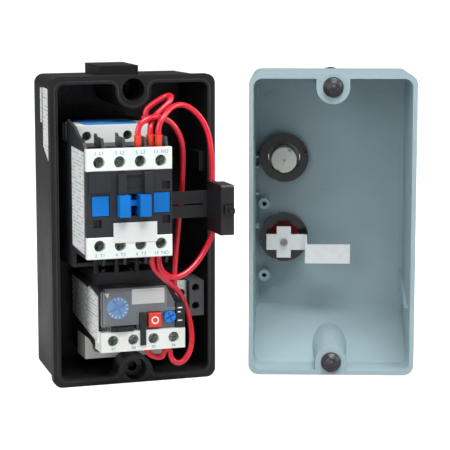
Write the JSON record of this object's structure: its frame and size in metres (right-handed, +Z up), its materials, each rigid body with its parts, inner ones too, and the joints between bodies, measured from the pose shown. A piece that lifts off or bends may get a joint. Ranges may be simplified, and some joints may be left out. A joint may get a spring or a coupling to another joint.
{
  "type": "magnetic motor starter",
  "caption": "Magnetic motor starter: black moulded base with contactor, thermal overload relay and red wiring, its lift-off cover with start and stop buttons beside it.",
  "frame": {"origin": "centre of the four wall-fixing holes, on the flat back of the base", "axes": "+X to the right, +Y into the wall, +Z up"},
  "size_m": [0.2126, 0.1069, 0.1689],
  "materials": {
    "base": "satin, finely pebbled moulded black",
    "seal": "matte",
    "insert": "zinc plated",
    "rail": "zinc plated sheet",
    "screw": "zinc plated",
    "zinc_plate": "bright zinc plated",
    "dark_block": "matte dark grey",
    "label": "printed self-adhesive",
    "device_black": "fine matte moulded",
    "terminal_white": "satin off-white",
    "deck_blue": "printed blue label",
    "carrier_blue": "satin blue",
    "iron": "laminated steel",
    "bobbin": "matte",
    "copper": "enamelled copper wire",
    "contact": "silver-faced copper",
    "spring_steel": "bright",
    "relay_grey": "satin grey",
    "clear": "clear moulded",
    "dial": "matte light blue",
    "stop_red": "satin red",
    "knob_blue": "satin blue",
    "relay_white": "satin off-white",
    "brass_pin": "bright",
    "wire_red": "glossy insulated",
    "sleeve_orange": "satin",
    "cover": "satin pale blue-grey",
    "bezel": "gloss black",
    "start_disc": "off-white",
    "captive": "satin black"
  },
  "bodies": {
    "base": {"base_box": "base", "base_seal": "seal", "screw_inserts": "insert", "din_rail": "rail", "rail_screws": "screw", "earth_plate": "zinc_plate", "two_hole_block": "dark_block", "base_labels": "label", "contactor_base": "device_black", "coil_deck": "terminal_white", "coil_label": "deck_blue", "contactor_housing": "device_black", "top_strip": "terminal_white", "bottom_strip": "terminal_white", "front_plate": "device_black", "fixed_core": "iron", "coil_bobbin": "bobbin", "coil_winding": "copper", "return_springs": "spring_steel", "contactor_terminals": "contact", "contactor_screws": "screw", "contactor_labels": "label", "relay_case": "device_black", "power_deck": "relay_white", "control_strip": "relay_white", "relay_pins": "brass_pin", "relay_face": "relay_grey", "relay_screws": "screw", "bimetal_strips": "contact", "relay_labels": "label", "contact_arm": "device_black", "contact_body": "device_black", "plunger_spring": "spring_steel", "wire_supply": "wire_red", "wire_coil_loop": "wire_red", "wire_start_feed": "wire_red", "wire_start_return": "wire_red", "wire_relay_feed": "wire_red", "wire_jumper": "wire_red", "wire_sleeves": "sleeve_orange"},
    "contactor_carrier": {"carrier": "carrier_blue", "contact_bridges": "contact", "armature": "iron"},
    "start_plunger": {"contact_plunger": "device_black"},
    "relay_lid": {"relay_window": "clear"},
    "dial": {"relay_dial": "dial"},
    "relay_stop": {"relay_stop_button": "stop_red"},
    "reset": {"reset_knob": "knob_blue"},
    "test": {"test_lever": "device_black"},
    "cover": {"cover_shell": "cover", "start_bezel": "bezel", "stop_bezel": "bezel"},
    "start": {"start_button": "start_disc"},
    "stop": {"stop_button": "stop_red", "stop_plate": "zinc_plate", "stop_plate_screw": "screw"},
    "upper_screw": {"cover_screw_top": "captive"},
    "lower_screw": {"cover_screw_bottom": "captive"}
  },
  "joints": [
    {"name": "cover_swing", "type": "hinge", "parent": "base", "child": "cover", "pos_m": [0.05426, -0.05135, 0], "axis": [0, 0, -1], "range_deg": [0, 159.6]},
    {"name": "start_press", "type": "slide", "parent": "cover", "child": "start", "axis": [-0.3486, -0.9373, 0], "range_m": [0, 0.004], "stiffness_N_per_m": 300, "springref_m": -0.002},
    {"name": "stop_press", "type": "slide", "parent": "cover", "child": "stop", "axis": [-0.3486, -0.9373, 0], "range_m": [0, 0.004], "stiffness_N_per_m": 300, "springref_m": -0.002},
    {"name": "carrier_travel", "type": "slide", "parent": "base", "child": "contactor_carrier", "axis": [0, 1, 0], "range_m": [0, 0.0035], "stiffness_N_per_m": 1000, "springref_m": -0.004},
    {"name": "plunger_press", "type": "slide", "parent": "base", "child": "start_plunger", "axis": [0, 1, 0], "range_m": [0, 0.002], "stiffness_N_per_m": 300, "springref_m": -0.002},
    {"name": "relay_lid_open", "type": "hinge", "parent": "base", "child": "relay_lid", "pos_m": [-0.0229, -0.0699, -0.0375], "axis": [0, 0, -1], "range_deg": [0, 100]},
    {"name": "dial_turn", "type": "hinge", "parent": "base", "child": "dial", "pos_m": [-0.0143, -0.0665, -0.0376], "axis": [0, -1, 0], "range_deg": [-60, 200]},
    {"name": "relay_stop_press", "type": "slide", "parent": "base", "child": "relay_stop", "axis": [0, 1, 0], "range_m": [0, 0.0025], "stiffness_N_per_m": 300, "springref_m": -0.002},
    {"name": "reset_turn", "type": "hinge", "parent": "base", "child": "reset", "pos_m": [0.0136, -0.0668, -0.0436], "axis": [0, -1, 0], "range_deg": [0, 90]},
    {"name": "test_slide", "type": "slide", "parent": "base", "child": "test", "axis": [1, 0, 0], "range_m": [0, 0.002], "stiffness_N_per_m": 300, "springref_m": -0.001},
    {"name": "upper_screw_turn", "type": "hinge", "parent": "cover", "child": "upper_screw", "pos_m": [0.11207, -0.05155, 0.075], "axis": [-0.3486, -0.9373, 0], "continuous": true},
    {"name": "lower_screw_turn", "type": "hinge", "parent": "cover", "child": "lower_screw", "pos_m": [0.10928, -0.05905, -0.075], "axis": [-0.3486, -0.9373, 0], "continuous": true}
  ]
}
